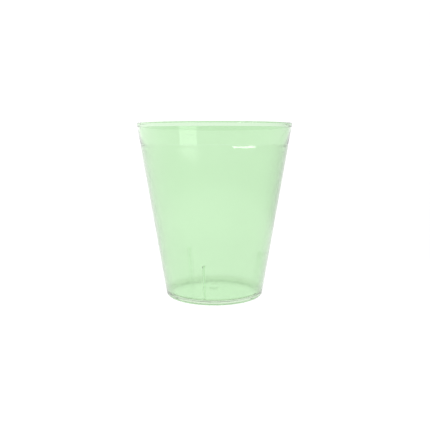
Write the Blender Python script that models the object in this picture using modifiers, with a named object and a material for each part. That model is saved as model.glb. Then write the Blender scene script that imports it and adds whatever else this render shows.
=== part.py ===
"""Florist pot: a tapered, see-through green plastic container with a glossy collar and a textured wall.

Metres, +Z up. The origin is the centre of the foot, on the surface that the pot stands on.
The pot is one moulding. It is modelled zone by zone, split where its surface or its function changes,
with a hairline gap between neighbouring zones. All of its walls are turned about the Z axis.
"""

import math

import bmesh
import bpy
from mathutils import Matrix, Vector

# Driving dimensions
HEIGHT = 0.1460
WALL = 0.0015  # wall thickness, measured level
GAP = 0.0003  # hairline between neighbouring zones
STEPS = 96  # sides of every turned zone

# Outer face, as radius at a height, from the rim down
RIM_RADIUS = 0.0648  # widest, just under the rounded top
LIP_Z, LIP_RADIUS = 0.14225, 0.06435
LIP_PROUD = 0.00026  # how far the lip stands out from the collar
COLLAR_Z, COLLAR_RADIUS = 0.1287, 0.06198
LEDGE_STEP = 0.0002  # how far the ledge sits back from the collar
UPRIGHT_HIGH_Z, UPRIGHT_HIGH_RADIUS = 0.1278, 0.06166  # upright stretch of the ledge
UPRIGHT_LOW_Z, UPRIGHT_LOW_RADIUS = 0.1258, 0.06162
WALL_TOP_Z, WALL_TOP_RADIUS = 0.1240, 0.06126
WALL_SLOPE = 0.1639  # growth in radius per unit of height

# Rounded edges
RIM_OUTER_ROUND = 0.0010
RIM_INNER_ROUND = 0.0005
HEEL_ROUND = 0.00293
INNER_ROUND = 0.0025

# Base
HEEL_TOP_Z = 0.0062
FLOOR_Z = 0.0034  # top of the flat ring of the floor
FLOOR_THICKNESS = 0.0010
FOOT_INNER_RADIUS = 0.0370
RECESS_RADIUS = 0.0364  # hollow under the floor
DOME_RADIUS, DOME_RISE = 0.0330, 0.0012
DOME_STEPS = 8
GATE_RADIUS, GATE_HEIGHT = 0.0036, 0.0006

# Spacer ribs inside the wall
RIB_ANGLES = (258.7, 123.0, 18.7)
RIB_TOP_Z = 0.0335
RIB_THICKNESS = 0.0012
RIB_DEPTH = 0.0032  # from the wall's inner face, at the head
RIB_TOE_RADIUS = 0.0376  # inner edge, at the floor
RIB_HEAD_DIAMETER = 0.0022
RIB_EDGE_ROUND = 0.0002

# Plastic
CLEAR_GREEN = (0.60, 0.88, 0.55, 1.0)
GLOSSY, TEXTURED = 0.05, 0.35  # roughness


def on_line(z, low, high):
    """Radius at height z on the straight line through two (radius, z) points."""
    return low[0] + (high[0] - low[0]) * (z - low[1]) / (high[1] - low[1])


def wall_outer(z):
    return WALL_TOP_RADIUS - WALL_SLOPE * (WALL_TOP_Z - z)


def collar_outer(z):
    return on_line(z, (COLLAR_RADIUS, COLLAR_Z), (LIP_RADIUS - LIP_PROUD, LIP_Z))


def inner(z):
    """Inner face: one line up the wall, and another from the ledge to the rim."""
    if z <= WALL_TOP_Z:
        return wall_outer(z) - WALL
    return on_line(z, (WALL_TOP_RADIUS - WALL, WALL_TOP_Z), (LIP_RADIUS - LIP_PROUD - WALL, LIP_Z))


def arc(centre, radius, start, end, steps):
    """Points on an arc in the (radius, z) plane, angles in degrees from +X."""
    points = []
    for i in range(steps + 1):
        angle = math.radians(start + (end - start) * i / steps)
        points.append((centre[0] + radius * math.cos(angle), centre[1] + radius * math.sin(angle)))
    return points


def named_material(name, roughness):
    """Green see-through plastic, one copy for each zone."""
    material = bpy.data.materials.new(name)
    material.use_nodes = True
    shader = material.node_tree.nodes["Principled BSDF"]
    shader.inputs["Base Color"].default_value = CLEAR_GREEN
    shader.inputs["Roughness"].default_value = roughness
    shader.inputs["Metallic"].default_value = 0.0
    shader.inputs["Transmission Weight"].default_value = 0.9
    shader.inputs["IOR"].default_value = 1.5
    return material


def placed(name, mesh, collection, roughness):
    piece = bpy.data.objects.new(name, mesh)
    mesh.materials.append(named_material(name + "_plastic", roughness))
    collection.objects.link(piece)
    return piece


def turned(name, profile, closed, collection, roughness):
    """A profile of (radius, z) points, spun about Z. It runs down the outer side and up the inner one."""
    mesh = bpy.data.meshes.new(name)
    edges = [(i, i + 1) for i in range(len(profile) - 1)]
    if closed:
        edges.append((len(profile) - 1, 0))
    mesh.from_pydata([(r, 0.0, z) for r, z in profile], edges, [])
    piece = placed(name, mesh, collection, roughness)
    screw = piece.modifiers.new("turn", "SCREW")
    screw.axis = "Z"
    screw.angle = math.tau
    screw.steps = STEPS
    screw.render_steps = STEPS
    screw.use_smooth_shade = True
    screw.use_merge_vertices = True
    screw.merge_threshold = 0.00001
    return piece


def rim_lip(collection):
    """Plain band round the mouth, slightly proud of the collar, with a rounded top."""
    outer_centre = (RIM_RADIUS - RIM_OUTER_ROUND, HEIGHT - RIM_OUTER_ROUND)
    inner_centre = (inner(HEIGHT) + RIM_INNER_ROUND, HEIGHT - RIM_INNER_ROUND)
    profile = arc(inner_centre, RIM_INNER_ROUND, 180, 90, 3)
    profile += arc(outer_centre, RIM_OUTER_ROUND, 90, 0, 5)
    profile += [(LIP_RADIUS, LIP_Z), (inner(LIP_Z), LIP_Z)]
    return turned("rim_lip", profile, True, collection, GLOSSY)


def ring(name, outer_at, low, high, collection, roughness):
    """A zone of plain wall between two heights."""
    profile = [(inner(high), high), (outer_at(high), high), (outer_at(low), low), (inner(low), low)]
    return turned(name, profile, True, collection, roughness)


def stacking_ledge(collection):
    """Band that sits back from the collar, stands upright for a stretch, and leans in to the wall."""
    high = COLLAR_Z - GAP
    profile = [
        (inner(high), high),
        (COLLAR_RADIUS - LEDGE_STEP, high),
        (UPRIGHT_HIGH_RADIUS, UPRIGHT_HIGH_Z),
        (UPRIGHT_LOW_RADIUS, UPRIGHT_LOW_Z),
        (WALL_TOP_RADIUS, WALL_TOP_Z),
        (inner(WALL_TOP_Z), WALL_TOP_Z),
    ]
    return turned("stacking_ledge", profile, True, collection, GLOSSY)


def heel_ring(collection):
    """Rounded foot corner: wall above, foot ring below, and the flat edge of the floor inside."""
    slant = math.degrees(math.atan(WALL_SLOPE))
    longer = math.hypot(1.0, WALL_SLOPE)
    outer_centre = (wall_outer(HEEL_ROUND) - HEEL_ROUND * longer, HEEL_ROUND)
    inner_z = FLOOR_Z + INNER_ROUND
    inner_centre = (inner(inner_z) - INNER_ROUND * longer, inner_z)
    profile = [(inner(HEEL_TOP_Z), HEEL_TOP_Z), (wall_outer(HEEL_TOP_Z), HEEL_TOP_Z)]
    profile += arc(outer_centre, HEEL_ROUND, -slant, -90, 6)
    profile += [
        (FOOT_INNER_RADIUS, 0.0),
        (RECESS_RADIUS, FLOOR_Z - FLOOR_THICKNESS),
        (RECESS_RADIUS, FLOOR_Z),
    ]
    profile += arc(inner_centre, INNER_ROUND, -90, -slant, 4)
    return turned("heel_ring", profile, True, collection, GLOSSY)


def dome(base):
    """Points up a shallow dome that stands on a height, from its foot to its gate mark."""
    points = []
    for i in range(DOME_STEPS + 1):
        radius = DOME_RADIUS + (GATE_RADIUS - DOME_RADIUS) * i / DOME_STEPS
        points.append((radius, base + DOME_RISE * (1 - (radius / DOME_RADIUS) ** 2)))
    return points


def domed_floor(collection):
    """Thin floor disc, arched clear of the table, with the round gate mark at its centre."""
    gate_z = FLOOR_Z + DOME_RISE + GATE_HEIGHT
    side = RECESS_RADIUS - GAP
    under = FLOOR_Z - FLOOR_THICKNESS
    profile = [(0.0, gate_z), (GATE_RADIUS, gate_z)] + dome(FLOOR_Z)[::-1]
    profile += [(side, FLOOR_Z), (side, under)] + dome(under) + [(0.0, under + DOME_RISE)]
    return turned("domed_floor", profile, False, collection, GLOSSY)


def rib_blade(name):
    """Thin upright web whose outer edge follows the wall and the rounded corner, lying along +X."""
    inner_z = FLOOR_Z + INNER_ROUND
    longer = math.hypot(1.0, WALL_SLOPE)
    corner = (inner(inner_z) - INNER_ROUND * longer, inner_z)
    slant = math.degrees(math.atan(WALL_SLOPE))
    top = RIB_TOP_Z - RIB_HEAD_DIAMETER / 2
    outline = [(inner(top) - RIB_DEPTH, top), (inner(top) - GAP * longer, top)]
    outline += arc(corner, INNER_ROUND - GAP, -slant, -75, 4)
    outline.append((RIB_TOE_RADIUS, FLOOR_Z + GAP))
    body = bmesh.new()
    corners = [body.verts.new((r, -RIB_THICKNESS / 2, z)) for r, z in outline]
    side = body.faces.new(corners)
    swept = bmesh.ops.extrude_face_region(body, geom=[side])
    moved = [item for item in swept["geom"] if isinstance(item, bmesh.types.BMVert)]
    bmesh.ops.translate(body, verts=moved, vec=Vector((0.0, RIB_THICKNESS, 0.0)))
    bmesh.ops.recalc_face_normals(body, faces=body.faces)
    mesh = bpy.data.meshes.new(name)
    body.to_mesh(mesh)
    body.free()
    return mesh


def rib_head_mesh(name):
    """Round head of a rib: a short pin that points from the wall at the axis."""
    centre_z = RIB_TOP_Z - RIB_HEAD_DIAMETER / 2
    outer_end = inner(centre_z - RIB_HEAD_DIAMETER / 2) - GAP
    inner_end = inner(centre_z) - RIB_DEPTH - GAP
    body = bmesh.new()
    bmesh.ops.create_cone(
        body,
        cap_ends=True,
        segments=20,
        radius1=RIB_HEAD_DIAMETER / 2,
        radius2=RIB_HEAD_DIAMETER / 2,
        depth=outer_end - inner_end,
        matrix=Matrix.Translation(((outer_end + inner_end) / 2, 0.0, centre_z))
        @ Matrix.Rotation(math.pi / 2, 4, "Y"),
    )
    mesh = bpy.data.meshes.new(name)
    body.to_mesh(mesh)
    body.free()
    return mesh


def spacer_rib(number, angle, collection, cutters):
    """Upright rib that keeps a pot standing inside this one off its floor."""
    name = f"spacer_rib_{number}"
    turn = Matrix.Rotation(math.radians(angle), 4, "Z")
    head = bpy.data.objects.new(name + "_head", rib_head_mesh(name + "_head"))
    head.matrix_world = turn
    head.hide_render = True
    head.display_type = "WIRE"
    cutters.objects.link(head)
    rib = placed(name, rib_blade(name), collection, GLOSSY)
    rib.matrix_world = turn
    joined = rib.modifiers.new("head", "BOOLEAN")
    joined.operation = "UNION"
    joined.object = head
    rounded = rib.modifiers.new("edges", "BEVEL")
    rounded.width = RIB_EDGE_ROUND
    rounded.segments = 1
    rounded.limit_method = "ANGLE"
    rounded.angle_limit = math.radians(50)
    return rib


def main():
    for leftover in list(bpy.data.objects):
        bpy.data.objects.remove(leftover)
    pot = bpy.data.collections.new("florist_pot")
    cutters = bpy.data.collections.new("cutters")
    bpy.context.scene.collection.children.link(pot)
    bpy.context.scene.collection.children.link(cutters)

    rim_lip(pot)
    ring("gloss_collar", collar_outer, COLLAR_Z, LIP_Z - GAP, pot, GLOSSY)
    stacking_ledge(pot)
    ring("textured_wall", wall_outer, HEEL_TOP_Z + GAP, WALL_TOP_Z - GAP, pot, TEXTURED)
    heel_ring(pot)
    domed_floor(pot)
    for number, angle in enumerate(RIB_ANGLES, start=1):
        spacer_rib(number, angle, pot, cutters)


main()
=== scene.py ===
"""Looks of the florist pot: fine moulded shapes, see-through green plastic, and a white studio.

Metres, +Z up, in the CAD model's frame. The pot is one moulding, shown zone by zone: each piece
stands for one CAD node and meets its neighbours at a seam too fine to see.
"""

import math

import bmesh
import bpy
from mathutils import Matrix, Vector


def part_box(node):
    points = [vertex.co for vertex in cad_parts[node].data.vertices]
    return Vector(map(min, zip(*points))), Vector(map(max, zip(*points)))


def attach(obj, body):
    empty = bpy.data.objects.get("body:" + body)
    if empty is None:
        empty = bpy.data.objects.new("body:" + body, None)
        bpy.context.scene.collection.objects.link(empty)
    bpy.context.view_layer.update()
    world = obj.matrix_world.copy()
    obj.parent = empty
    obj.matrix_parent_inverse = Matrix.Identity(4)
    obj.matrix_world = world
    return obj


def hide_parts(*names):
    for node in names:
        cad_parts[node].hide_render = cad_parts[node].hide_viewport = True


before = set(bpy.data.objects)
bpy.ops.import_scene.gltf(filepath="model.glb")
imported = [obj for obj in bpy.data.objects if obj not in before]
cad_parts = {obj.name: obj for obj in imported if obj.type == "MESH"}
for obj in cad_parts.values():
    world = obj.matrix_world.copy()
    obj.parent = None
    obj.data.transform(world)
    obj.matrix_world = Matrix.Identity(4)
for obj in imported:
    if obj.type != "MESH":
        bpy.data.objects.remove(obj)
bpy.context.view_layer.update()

# Shape
SEGMENTS = 256  # sides of every turned piece
SEAM = 0.00001  # hairline between neighbouring pieces
LEVEL_DIGITS = 5  # heights of the CAD model are told apart to 0.01 mm
ON_AXIS = 0.0000001  # a point nearer to the axis than this is on it
CORNER_SHARE = 0.45  # most of a side that one corner's curve may take
CORNER_STEPS = 6
TURNED_CREASE, RIB_CREASE = math.radians(40), math.radians(35)  # sharper edges stay crisp
RIM_OUTER_ROUND, RIM_OUTER_STEPS = 0.0010, 12
RIM_INNER_ROUND, RIM_INNER_STEPS = 0.0005, 8
LIP_BLEND = 0.0011  # height over which the lip runs out into the collar
COLLAR_EDGE_ROUND, COLLAR_EDGE_STEPS = 0.00012, 4
LEDGE_BLEND = 0.0004  # reach of the curve at each corner of the ledge
HEEL_ROUND, INNER_ROUND = 0.00293, 0.0025
HEEL_STEPS = 18
DOME_STEPS = 24
GATE_EDGE_ROUND = 0.0003
RIB_THICKNESS, RIB_HEAD_DIAMETER = 0.0012, 0.0022
RIB_EDGE_ROUND, RIB_EDGE_STEPS = 0.0005, 5
RIB_HEAD_ROUND, RIB_HEAD_STEPS = 0.00105, 8
RIB_HEAD_SIDES = 40
RIB_HEAD_PROUD = 0.0002  # how far the head stands in front of the web
RIB_HEAD_GAP = SEAM * 4  # from the head's outer end to the wall
RIB_HEAD_ZONE = RIB_HEAD_DIAMETER * 0.8  # top stretch of a rib, where the head's front is measured
RIB_FOOT_END, RIB_FOOT_STEPS = -85, 8  # the foot's arc ends at these degrees, short of the flat floor
RIB_SNAP = 0.000001  # how closely the web's inner edge is found
SEAM_TURN = 0.3  # a rib's face is a seam if its normal leans this far to the wall or the floor

# Plastic
PLASTIC_IOR = 1.5
FLOW_SCALE, FLOW_DETAIL = 45.0, 3.0  # flow marks from moulding
FLOW_SHADE = 0.985  # share of the tint at the darkest of the marks
FLOW_GLOSS_LOW, FLOW_GLOSS_HIGH = 0.85, 1.15  # roughness in the marks, as shares of the plastic's
STIPPLE_SCALE, STIPPLE_DETAIL = 2200.0, 1.0
STIPPLE_HEIGHT = 0.0001

# Camera: in front of the pot, a little lower than its rim, tipped down at it
CAMERA_PLACE = Vector((0.0005, -0.4940, 0.1332))
CAMERA_TIP = math.radians(7.478)
CAMERA_LENS, CAMERA_SENSOR = 48.78, 36.0  # millimetres

# Studio
TABLE_RADIUS, TABLE_SIDES = 0.28, 128
TABLE_GAP = 0.0001  # under the foot
TABLE_GLOW_LEFT, TABLE_GLOW_RIGHT = 1.18, 1.01
PANEL_TARGET = Vector((0.0, -0.06, 0.135))
BRIGHT_SIDE = (-0.5, 0.866, 0.0)  # behind the pot, to the left
ROOM_DIM, ROOM_BRIGHT = 0.60, 1.15
ROOM_TURN = -0.15  # where the room starts to brighten, as a cosine from the bright side
LIGHT_BOUNCES, GLOSS_BOUNCES = 24, 12


# ---------------------------------------------------------------- measures of the CAD model

def levels(node):
    """Heights of a turned node's points, each with its least and greatest radius."""
    found = {}
    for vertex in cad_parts[node].data.vertices:
        radius = math.hypot(vertex.co.x, vertex.co.y)
        height = round(vertex.co.z, LEVEL_DIGITS)
        low, high = found.get(height, (radius, radius))
        found[height] = (min(low, radius), max(high, radius))
    return sorted((z, low, high) for z, (low, high) in found.items())


def edge_line(node, outer):
    """Function from height to radius, along the straight side of a plain ring of wall."""
    (z0, *r0), (z1, *r1) = levels(node)[0], levels(node)[-1]
    side = 1 if outer else 0
    return lambda z: r0[side] + (r1[side] - r0[side]) * (z - z0) / (z1 - z0)


# ---------------------------------------------------------------- turned shapes

def arc(centre, radius, start, end, steps):
    """Points on an arc in the (radius, z) plane, angles in degrees from +X."""
    points = []
    for i in range(steps + 1):
        angle = math.radians(start + (end - start) * i / steps)
        points.append((centre[0] + radius * math.cos(angle), centre[1] + radius * math.sin(angle)))
    return points


def rounded(points, reach):
    """The same line with each corner swapped for a curve that starts and ends a short way from it."""
    line = [points[0]]
    for before, corner, after in zip(points, points[1:], points[2:]):
        before, corner, after = Vector(before), Vector(corner), Vector(after)
        start = corner + (before - corner) * min(CORNER_SHARE, reach / (before - corner).length)
        end = corner + (after - corner) * min(CORNER_SHARE, reach / (after - corner).length)
        for i in range(CORNER_STEPS + 1):
            t = i / CORNER_STEPS
            line.append(tuple(start * (1 - t) ** 2 + corner * 2 * t * (1 - t) + end * t ** 2))
    return line + [points[-1]]


def turned(name, profile, slots=None):
    """Piece turned from a closed profile of (radius, z) points, which runs down the outer side. A
    profile that starts and ends on the axis is closed there. slots gives each stretch a slot."""
    rings, verts = [], []
    for radius, z in profile:
        if radius < ON_AXIS:
            rings.append([len(verts)] * SEGMENTS)
            verts.append((0.0, 0.0, z))
            continue
        rings.append(list(range(len(verts), len(verts) + SEGMENTS)))
        for i in range(SEGMENTS):
            angle = math.tau * i / SEGMENTS
            verts.append((radius * math.cos(angle), radius * math.sin(angle), z))
    faces, marks = [], []
    on_axis = profile[0][0] < ON_AXIS
    for k in range(len(profile) - (1 if on_axis else 0)):
        above, below = rings[k], rings[(k + 1) % len(profile)]
        for i in range(SEGMENTS):
            j = (i + 1) % SEGMENTS
            corners = list(dict.fromkeys((above[i], below[i], below[j], above[j])))
            faces.append(corners)
            marks.append(slots[k] if slots else 0)
    mesh = bpy.data.meshes.new(name)
    mesh.from_pydata(verts, [], faces)
    mesh.polygons.foreach_set("material_index", marks)
    mesh.shade_smooth()
    mesh.set_sharp_from_angle(angle=TURNED_CREASE)
    piece = bpy.data.objects.new(name, mesh)
    bpy.context.scene.collection.objects.link(piece)
    return piece


# ---------------------------------------------------------------- materials

def clear_plastic(name, tint, roughness, stipple=0.0):
    """See-through plastic, tinted as light passes each face, with faint flow marks from moulding."""
    material = bpy.data.materials.new(name)
    material.use_nodes = True
    tree = material.node_tree
    shader = tree.nodes["Principled BSDF"]
    shader.inputs["Transmission Weight"].default_value = 1.0
    shader.inputs["IOR"].default_value = PLASTIC_IOR
    shader.inputs["Metallic"].default_value = 0.0

    place = tree.nodes.new("ShaderNodeTexCoord")
    cloud = tree.nodes.new("ShaderNodeTexNoise")
    cloud.inputs["Scale"].default_value = FLOW_SCALE
    cloud.inputs["Detail"].default_value = FLOW_DETAIL
    tree.links.new(place.outputs["Object"], cloud.inputs["Vector"])
    shade = tree.nodes.new("ShaderNodeMix")
    shade.data_type = "RGBA"
    shade.inputs["A"].default_value = (*[c * FLOW_SHADE for c in tint], 1.0)
    shade.inputs["B"].default_value = (*tint, 1.0)
    tree.links.new(cloud.outputs["Fac"], shade.inputs["Factor"])
    tree.links.new(shade.outputs["Result"], shader.inputs["Base Color"])

    gloss = tree.nodes.new("ShaderNodeMapRange")
    gloss.inputs["To Min"].default_value = roughness * FLOW_GLOSS_LOW
    gloss.inputs["To Max"].default_value = roughness * FLOW_GLOSS_HIGH
    tree.links.new(cloud.outputs["Fac"], gloss.inputs["Value"])
    tree.links.new(gloss.outputs["Result"], shader.inputs["Roughness"])

    if stipple:
        grain = tree.nodes.new("ShaderNodeTexNoise")
        grain.inputs["Scale"].default_value = STIPPLE_SCALE
        grain.inputs["Detail"].default_value = STIPPLE_DETAIL
        tree.links.new(place.outputs["Object"], grain.inputs["Vector"])
        bump = tree.nodes.new("ShaderNodeBump")
        bump.inputs["Strength"].default_value = stipple
        bump.inputs["Distance"].default_value = STIPPLE_HEIGHT
        tree.links.new(grain.outputs["Fac"], bump.inputs["Height"])
        tree.links.new(bump.outputs["Normal"], shader.inputs["Normal"])
    return material


def seam_plastic():
    """Plastic that bends and tints no light, for the hidden faces where two zones meet."""
    material = bpy.data.materials.new("seam_plastic")
    material.use_nodes = True
    shader = material.node_tree.nodes["Principled BSDF"]
    shader.inputs["Base Color"].default_value = (1.0, 1.0, 1.0, 1.0)
    shader.inputs["Roughness"].default_value = 0.0
    shader.inputs["Transmission Weight"].default_value = 1.0
    shader.inputs["IOR"].default_value = 1.0
    return material


TINT = (0.755, 0.918, 0.728)
# deeper tint on the lip: partly its thicker plastic, partly painted shade where the lip looks dark
LIP_THICK_AND_SHADE_TINT = (0.675, 0.860, 0.645)
# deeper tint on the heel: partly its thicker plastic, partly painted shade for the dark crescent at the
# foot
HEEL_THICK_AND_SHADE_TINT = (0.640, 0.800, 0.600)
RIB_TINT = (0.830, 0.935, 0.810)
# darker tint on the rib's round head: painted shade for the dark dot its domed end shows
RIB_HEAD_SHADE_TINT = (0.600, 0.780, 0.560)
CLEAR = clear_plastic("clear_green_plastic", TINT, 0.03)
LIP_CLEAR = clear_plastic("lip_thick_and_shade_plastic", LIP_THICK_AND_SHADE_TINT, 0.03)
HEEL_CLEAR = clear_plastic("heel_thick_and_shade_plastic", HEEL_THICK_AND_SHADE_TINT, 0.04)
RIB_CLEAR = clear_plastic("rib_green_plastic", RIB_TINT, 0.03)
RIB_HEAD = clear_plastic("rib_head_painted_shade_plastic", RIB_HEAD_SHADE_TINT, 0.03)
SATIN = clear_plastic("satin_green_plastic", TINT, 0.16)
FROSTED = clear_plastic("frosted_green_plastic", TINT, 0.14, stipple=0.12)
SEAM_FACE = seam_plastic()
RIB_MATERIALS = (RIB_CLEAR, RIB_HEAD, SEAM_FACE)


# ---------------------------------------------------------------- pieces

wall_outer, wall_inner = edge_line("textured_wall", True), edge_line("textured_wall", False)
collar_outer, collar_inner = edge_line("gloss_collar", True), edge_line("gloss_collar", False)
lip_low, lip_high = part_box("rim_lip")
collar_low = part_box("gloss_collar")[0]
ledge_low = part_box("stacking_ledge")[0]
heel_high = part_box("heel_ring")[1]
floor_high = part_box("domed_floor")[1]
ledge_top_radius = max(outer for z, inner, outer in levels("stacking_ledge"))
recess_radius, under_z = min((inner, z) for z, inner, outer in levels("heel_ring"))
floor_z = max(z for z, inner, outer in levels("heel_ring") if inner == recess_radius)
under_top_z = min(z for z, inner, outer in levels("domed_floor") if inner < ON_AXIS)
dome_radius = next(inner for z, inner, outer in levels("domed_floor") if z == floor_z)
WALL_SLOPE = wall_outer(1.0) - wall_outer(0.0)  # radius gained with each unit of height
SLANT = math.degrees(math.atan(WALL_SLOPE))
LONGER = math.hypot(1.0, WALL_SLOPE)  # length along the wall for each unit of height


def finished(piece, node, materials):
    """The piece with its materials, standing in for its CAD node."""
    for material in materials:
        piece.data.materials.append(material)
    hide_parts(node)
    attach(piece, "root")
    return piece


def rim_lip():
    """Plain band round the mouth with a rounded top, which runs out smoothly into the collar."""
    top, low = lip_high.z, lip_low.z
    outer_centre = (lip_high.x - RIM_OUTER_ROUND, top - RIM_OUTER_ROUND)
    inner_centre = (collar_inner(top) + RIM_INNER_ROUND, top - RIM_INNER_ROUND)
    lip_radius = levels("rim_lip")[0][2]
    profile = arc(inner_centre, RIM_INNER_ROUND, 180, 90, RIM_INNER_STEPS)
    profile += arc(outer_centre, RIM_OUTER_ROUND, 90, -SLANT, RIM_OUTER_STEPS)
    profile += rounded([
        (lip_radius + WALL_SLOPE * 2 * LIP_BLEND, low + 2 * LIP_BLEND),
        (lip_radius + WALL_SLOPE * LIP_BLEND, low + LIP_BLEND),
        (collar_outer(low + LIP_BLEND / 4), low + LIP_BLEND / 4),
        (collar_outer(low), low),
    ], LIP_BLEND / 2)
    profile.append((collar_inner(low), low))
    slots = [0] * (len(profile) - 2) + [1, 0]
    piece = turned("lip_band", profile, slots)
    return finished(piece, "rim_lip", [LIP_CLEAR, SEAM_FACE])


def collar():
    """Glossy band between the lip and the ledge."""
    high, low = lip_low.z - SEAM, collar_low.z
    edge = COLLAR_EDGE_ROUND
    profile = [(collar_inner(high), high), (collar_outer(high), high)]
    profile += arc((collar_outer(low) - edge, low + edge), edge, -SLANT, -90, COLLAR_EDGE_STEPS)
    profile += [(ledge_top_radius, low), (collar_inner(low), low)]
    slots = [1] + [0] * (len(profile) - 3) + [1, 0]
    piece = turned("collar_band", profile, slots)
    return finished(piece, "gloss_collar", [CLEAR, SEAM_FACE])


def ledge():
    """Smooth band, satin inside, that sits back from the collar. Its middle is nearly upright."""
    high, low = collar_low.z - SEAM, ledge_low.z
    line = [(outer, z) for z, inner, outer in reversed(levels("stacking_ledge"))]
    line[0] = (ledge_top_radius, high)
    profile = [(collar_inner(high), high)] + rounded(line, LEDGE_BLEND) + [(collar_inner(low), low)]
    slots = [1] + [0] * (len(profile) - 3) + [1, 2]
    piece = turned("ledge_band", profile, slots)
    return finished(piece, "stacking_ledge", [CLEAR, SEAM_FACE, SATIN])


def wall():
    """Tapered wall, stippled on the outside and satin inside."""
    high, low = ledge_low.z - SEAM, heel_high.z + SEAM
    profile = [
        (wall_inner(high), high),
        (wall_outer(high), high),
        (wall_outer(low), low),
        (wall_inner(low), low),
    ]
    piece = turned("frosted_wall", profile, slots=[2, 0, 2, 1])
    return finished(piece, "textured_wall", [FROSTED, SATIN, SEAM_FACE])


def heel():
    """Rounded foot corner with the foot ring below and the edge of the floor inside."""
    foot_inner = levels("heel_ring")[0][1]
    top = heel_high.z
    outer_centre = (wall_outer(HEEL_ROUND) - HEEL_ROUND * LONGER, HEEL_ROUND)
    profile = [(wall_inner(top), top), (wall_outer(top), top)]
    profile += arc(outer_centre, HEEL_ROUND, -SLANT, -90, HEEL_STEPS)
    profile += [(foot_inner, 0.0), (recess_radius, under_z), (recess_radius, floor_z)]
    profile += arc(inner_corner(), INNER_ROUND, -90, -SLANT, HEEL_STEPS)
    slots = [0] * len(profile)
    for seam in (0, profile.index((recess_radius, under_z))):
        slots[seam] = 1
    piece = turned("heel_corner", profile, slots)
    return finished(piece, "heel_ring", [HEEL_CLEAR, SEAM_FACE])


def inner_corner():
    """Centre of the round between the wall's inner face and the floor, as (radius, z)."""
    height = floor_z + INNER_ROUND
    return wall_inner(height) - INNER_ROUND * LONGER, height


def dome(low, high, foot_radius, end_radius):
    """Points up a shallow dome between two heights, from its foot to a radius near its centre."""
    points = []
    for i in range(DOME_STEPS + 1):
        radius = foot_radius + (end_radius - foot_radius) * i / DOME_STEPS
        points.append((radius, low + (high - low) * (1 - (radius / foot_radius) ** 2)))
    return points


def floor_disc():
    """Thin arched floor with the round gate mark at its centre."""
    side = recess_radius - SEAM
    gate_radius = levels("domed_floor")[-1][2]
    upper = dome(floor_z, under_top_z + floor_z - under_z, dome_radius, gate_radius)[::-1]
    under = dome(under_z, under_top_z, dome_radius, gate_radius)
    gate = rounded([(0.0, floor_high.z), (gate_radius, floor_high.z), upper[0]], GATE_EDGE_ROUND)
    upper = gate + upper[1:] + [(side, floor_z)]
    under = [(side, under_z)] + under + [(0.0, under_top_z)]
    slots = [0] * (len(upper) - 1) + [1] + [0] * (len(under) - 1)
    piece = turned("floor_dome", upper + under, slots)
    return finished(piece, "domed_floor", [CLEAR, SEAM_FACE])


def rib_web(name, outline):
    """Flat web of the outline, given as (radius, z), lying along +X, with its inner edge rounded."""
    body = bmesh.new()
    side = body.faces.new([body.verts.new((r, -RIB_THICKNESS / 2, z)) for r, z in outline])
    swept = bmesh.ops.extrude_face_region(body, geom=[side])
    moved = [item for item in swept["geom"] if isinstance(item, bmesh.types.BMVert)]
    bmesh.ops.translate(body, verts=moved, vec=Vector((0.0, RIB_THICKNESS, 0.0)))
    bmesh.ops.recalc_face_normals(body, faces=body.faces)
    nose = outline[0][0] + RIB_SNAP
    inner_edges = []
    for edge in body.edges:
        start, end = (v.co for v in edge.verts)
        if max(start.x, end.x) < nose and abs(start.z - end.z) > RIB_HEAD_DIAMETER:
            inner_edges.append(edge)
    bmesh.ops.bevel(
        body,
        geom=inner_edges,
        offset=RIB_EDGE_ROUND,
        segments=RIB_EDGE_STEPS,
        profile=0.5,
        affect="EDGES",
    )
    mesh = bpy.data.meshes.new(name)
    body.to_mesh(mesh)
    body.free()
    return mesh


def rib_head(name, inner_end, outer_end, height):
    """Round head: a short pin along X, domed where it faces the axis of the pot."""
    body = bmesh.new()
    middle = (inner_end + outer_end) / 2
    place = Matrix.Translation((middle, 0.0, height)) @ Matrix.Rotation(math.pi / 2, 4, "Y")
    bmesh.ops.create_cone(
        body,
        cap_ends=True,
        segments=RIB_HEAD_SIDES,
        radius1=RIB_HEAD_DIAMETER / 2,
        radius2=RIB_HEAD_DIAMETER / 2,
        depth=outer_end - inner_end,
        matrix=place,
    )
    rim = [edge for edge in body.edges if all(v.co.x < middle for v in edge.verts)]
    bmesh.ops.bevel(
        body,
        geom=rim,
        offset=RIB_HEAD_ROUND,
        segments=RIB_HEAD_STEPS,
        profile=0.5,
        affect="EDGES",
    )
    mesh = bpy.data.meshes.new(name)
    body.to_mesh(mesh)
    body.free()
    # the head takes the darker plastic, whose tint is painted shade
    mesh.polygons.foreach_set("material_index", [RIB_MATERIALS.index(RIB_HEAD)] * len(mesh.polygons))
    return mesh


def united(number, web, tip):
    """One piece from a rib's web and head."""
    for mesh in (web, tip):
        for material in RIB_MATERIALS:
            mesh.materials.append(material)
    piece = bpy.data.objects.new(f"rib_web_{number}", web)
    head = bpy.data.objects.new(f"rib_head_{number}", tip)
    for item in (piece, head):
        bpy.context.scene.collection.objects.link(item)
    union = piece.modifiers.new("head", "BOOLEAN")
    union.operation = "UNION"
    union.object = head
    bpy.context.view_layer.update()
    evaluated = piece.evaluated_get(bpy.context.evaluated_depsgraph_get())
    whole = bpy.data.meshes.new_from_object(evaluated)
    piece.modifiers.clear()
    piece.data = whole
    bpy.data.objects.remove(head)
    return piece


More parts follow.
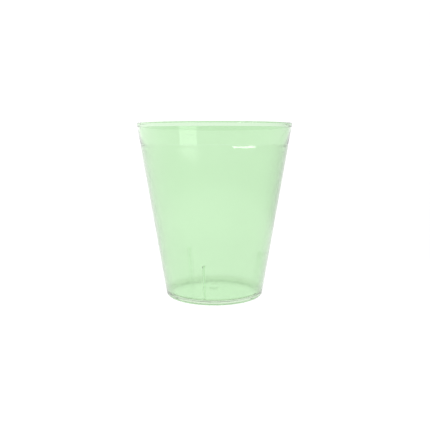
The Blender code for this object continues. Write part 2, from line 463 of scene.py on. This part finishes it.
def rib(number):
    """Upright rib against the wall's inner face: a thin web below a round head."""
    node = f"spacer_rib_{number}"
    points = [v.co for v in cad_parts[node].data.vertices]
    centre = sum(points, Vector()) / len(points)
    turn = math.atan2(centre.y, centre.x)
    back = Matrix.Rotation(-turn, 4, "Z")
    local = [back @ p for p in points]
    low, high = min(p.z for p in local), max(p.z for p in local)
    toe = min(p.x for p in local if p.z < low + RIB_EDGE_ROUND)
    head_inner = min(p.x for p in local if p.z > high - RIB_HEAD_ZONE)
    middle = high - RIB_HEAD_DIAMETER / 2
    outline = [(head_inner, middle), (wall_inner(middle) - SEAM * LONGER, middle)]
    outline += arc(inner_corner(), INNER_ROUND - SEAM, -SLANT, RIB_FOOT_END, RIB_FOOT_STEPS)
    outline.append((toe, floor_z + SEAM))
    outer_end = wall_inner(middle - RIB_HEAD_DIAMETER / 2) - RIB_HEAD_GAP

    web = rib_web(f"rib_web_{number}", outline)
    tip = rib_head(f"rib_head_{number}", head_inner - RIB_HEAD_PROUD, outer_end, middle)
    piece = united(number, web, tip)
    for face in piece.data.polygons:
        on_wall = face.normal.x > SEAM_TURN
        on_floor = face.normal.z < -SEAM_TURN and face.center.z < middle - RIB_HEAD_DIAMETER
        if on_wall or on_floor:
            face.material_index = RIB_MATERIALS.index(SEAM_FACE)
    piece.data.transform(Matrix.Rotation(turn, 4, "Z"))
    piece.data.shade_smooth()
    piece.data.set_sharp_from_angle(angle=RIB_CREASE)
    return finished(piece, node, [])


rim_lip()
collar()
ledge()
wall()
heel()
floor_disc()
for number in (1, 2, 3):
    rib(number)


# ---------------------------------------------------------------- studio

def table_top():
    """Round white table that glows, like a light table, a little stronger at its left."""
    bpy.ops.mesh.primitive_circle_add(
        vertices=TABLE_SIDES, radius=TABLE_RADIUS, fill_type="NGON", location=(0.0, 0.0, -TABLE_GAP)
    )
    disc = bpy.context.object
    disc.name = "table_top"
    material = bpy.data.materials.new("glowing_white")
    material.use_nodes = True
    tree = material.node_tree
    shader = tree.nodes["Principled BSDF"]
    shader.inputs["Base Color"].default_value = (0.0, 0.0, 0.0, 1.0)
    shader.inputs["Specular IOR Level"].default_value = 0.0
    shader.inputs["Emission Color"].default_value = (1.0, 1.0, 1.0, 1.0)
    place = tree.nodes.new("ShaderNodeTexCoord")
    split = tree.nodes.new("ShaderNodeSeparateXYZ")
    tree.links.new(place.outputs["Object"], split.inputs["Vector"])
    glow = tree.nodes.new("ShaderNodeMapRange")
    glow.inputs["From Min"].default_value = -TABLE_RADIUS
    glow.inputs["From Max"].default_value = TABLE_RADIUS
    glow.inputs["To Min"].default_value = TABLE_GLOW_LEFT
    glow.inputs["To Max"].default_value = TABLE_GLOW_RIGHT
    tree.links.new(split.outputs["X"], glow.inputs["Value"])
    tree.links.new(glow.outputs["Result"], shader.inputs["Emission Strength"])
    disc.data.materials.append(material)


def panel(name, azimuth, elevation, distance, width, height, brightness):
    """Soft box that faces the pot and shows only as a reflection on it, not directly and not
    through the plastic. Angles are in degrees, the azimuth from +X, and brightness is radiance."""
    light = bpy.data.lights.new(name, "AREA")
    light.shape = "RECTANGLE"
    light.size, light.size_y = width, height
    light.energy = brightness * math.pi * width * height
    holder = bpy.data.objects.new(name, light)
    turn, lift = math.radians(azimuth), math.radians(elevation)
    way = Vector((math.cos(turn) * math.cos(lift), math.sin(turn) * math.cos(lift), math.sin(lift)))
    holder.location = PANEL_TARGET + way * distance
    holder.rotation_euler = way.to_track_quat("Z", "Y").to_euler()
    holder.visible_camera = False
    holder.visible_transmission = False
    bpy.context.scene.collection.objects.link(holder)


def room():
    """Bright on one side behind the pot and dimmer in front of it. The camera sees plain white."""
    world = bpy.data.worlds.new("studio_room")
    world.use_nodes = True
    tree = world.node_tree
    back = tree.nodes["Background"]
    back.inputs["Color"].default_value = (1.0, 1.0, 1.0, 1.0)
    place = tree.nodes.new("ShaderNodeTexCoord")
    along = tree.nodes.new("ShaderNodeVectorMath")
    along.operation = "DOT_PRODUCT"
    along.inputs[1].default_value = Vector(BRIGHT_SIDE).normalized()
    tree.links.new(place.outputs["Generated"], along.inputs[0])
    fall = tree.nodes.new("ShaderNodeMapRange")
    fall.interpolation_type = "SMOOTHSTEP"
    fall.inputs["From Min"].default_value = ROOM_TURN
    fall.inputs["From Max"].default_value = 1.0
    fall.inputs["To Min"].default_value = ROOM_DIM
    fall.inputs["To Max"].default_value = ROOM_BRIGHT
    tree.links.new(along.outputs["Value"], fall.inputs["Value"])
    seen = tree.nodes.new("ShaderNodeLightPath")
    pick = tree.nodes.new("ShaderNodeMath")
    pick.operation = "MAXIMUM"
    tree.links.new(fall.outputs["Result"], pick.inputs[0])
    tree.links.new(seen.outputs["Is Camera Ray"], pick.inputs[1])
    tree.links.new(pick.outputs["Value"], back.inputs["Strength"])
    bpy.context.scene.world = world


def camera():
    """Camera that frames the whole pot."""
    holder = bpy.data.objects.new("camera", bpy.data.cameras.new("camera"))
    holder.data.lens = CAMERA_LENS
    holder.data.sensor_width = CAMERA_SENSOR
    holder.location = CAMERA_PLACE
    holder.rotation_euler = (math.pi / 2 - CAMERA_TIP, 0.0, 0.0)
    bpy.context.scene.collection.objects.link(holder)
    bpy.context.scene.camera = holder


table_top()
room()
panel("right_panel", azimuth=-39.5, elevation=18.0, distance=0.90, width=0.52, height=0.22, brightness=3.0)
panel("right_strip", azimuth=-43.7, elevation=-4.4, distance=0.90, width=0.61, height=0.03, brightness=8.5)
camera()
bpy.context.scene.view_settings.view_transform = "Standard"
bpy.context.scene.cycles.max_bounces = LIGHT_BOUNCES
bpy.context.scene.cycles.transmission_bounces = LIGHT_BOUNCES
bpy.context.scene.cycles.glossy_bounces = GLOSS_BOUNCES
